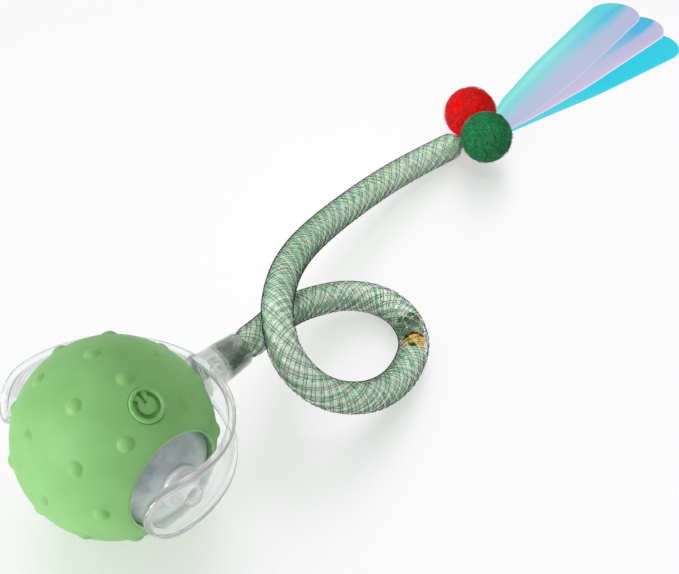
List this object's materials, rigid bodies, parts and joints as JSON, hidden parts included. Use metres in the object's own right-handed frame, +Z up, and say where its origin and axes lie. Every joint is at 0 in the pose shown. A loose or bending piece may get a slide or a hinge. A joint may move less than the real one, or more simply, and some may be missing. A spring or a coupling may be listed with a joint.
{
  "type": "self-rolling cat ball",
  "caption": "Motor-driven pet ball in a nubbed silicone sleeve, spinning in a clear yoke that trails a mesh tail with bell, felt balls and film strips.",
  "frame": {"origin": "on the floor, straight under the centre of the ball", "axes": "+X along the ball's axle towards the pole with the power key and charging port, +Y the way the tail leaves the yoke, +Z up"},
  "size_m": [0.0806, 0.2894, 0.0472],
  "materials": {
    "silicone_green": "matte",
    "shell_grey": "translucent, glossy",
    "clear_plastic": "clear, polished",
    "white_plastic": "moulded",
    "steel": "plain",
    "zinc_weight": "cast",
    "gear_plastic": "moulded",
    "brass": "polished",
    "black_plastic": "moulded",
    "cell_wrap": "shrink sleeve over a can",
    "board_green": "solder mask",
    "led_lens": "clear lens",
    "mesh_green": "braided filament",
    "tinsel": "glittering film threads",
    "thread": "wound thread",
    "felt_red": "wool felt",
    "felt_green": "wool felt",
    "film": "iridescent film"
  },
  "bodies": {
    "yoke": {"yoke_frame": "clear_plastic", "crimp_ring": "brass", "mesh_tube": "mesh_green", "tinsel_front": "tinsel", "tinsel_rear": "tinsel", "bell_shell": "brass", "bell_pellet": "steel", "tail_tie": "thread", "felt_ball_red": "felt_red", "felt_ball_green": "felt_green", "film_strip_right": "film", "film_strip_middle": "film", "film_strip_left": "film"},
    "ball": {"silicone_sleeve": "silicone_green", "shell_right": "shell_grey", "shell_left": "shell_grey", "hub_disc_right": "clear_plastic", "hub_disc_left": "clear_plastic", "chassis_plate": "white_plastic", "shell_screws": "steel", "board_screws": "steel", "weight_axle": "steel", "gear_pin": "steel", "motor_can": "steel", "motor_endcap": "black_plastic", "battery_cell": "cell_wrap", "circuit_board": "board_green", "port_board": "board_green", "tact_switch": "black_plastic", "controller_chip": "black_plastic", "status_led": "led_lens", "usb_port": "steel"},
    "button": {"power_button": "silicone_green", "switch_plunger": "black_plastic"},
    "weight": {"swing_weight": "zinc_weight", "output_gear": "gear_plastic"},
    "compound": {"compound_gear": "gear_plastic"},
    "motor_rotor": {"motor_shaft": "steel", "motor_pinion": "brass"}
  },
  "joints": [
    {"name": "ball_spin", "type": "hinge", "parent": "yoke", "child": "ball", "pos_m": [0, 0, 0.0236], "axis": [1, 0, 0], "continuous": true},
    {"name": "key_press", "type": "slide", "parent": "ball", "child": "button", "axis": [-0.5736, 0, -0.8192], "range_m": [0, 0.0003], "stiffness_N_per_m": 600},
    {"name": "weight_swing", "type": "hinge", "parent": "ball", "child": "weight", "pos_m": [0, 0, 0.0236], "axis": [1, 0, 0], "continuous": true},
    {"name": "compound_spin", "type": "hinge", "parent": "ball", "child": "compound", "pos_m": [0, 0.00803, 0.01896], "axis": [1, 0, 0], "continuous": true},
    {"name": "motor_spin", "type": "hinge", "parent": "ball", "child": "motor_rotor", "pos_m": [0, 0, 0.01433], "axis": [1, 0, 0], "continuous": true}
  ],
  "couplings": [
    {"joint": "compound_spin", "follows": "weight_swing", "ratio": -2.8333},
    {"joint": "motor_spin", "follows": "weight_swing", "ratio": 8.0278}
  ]
}
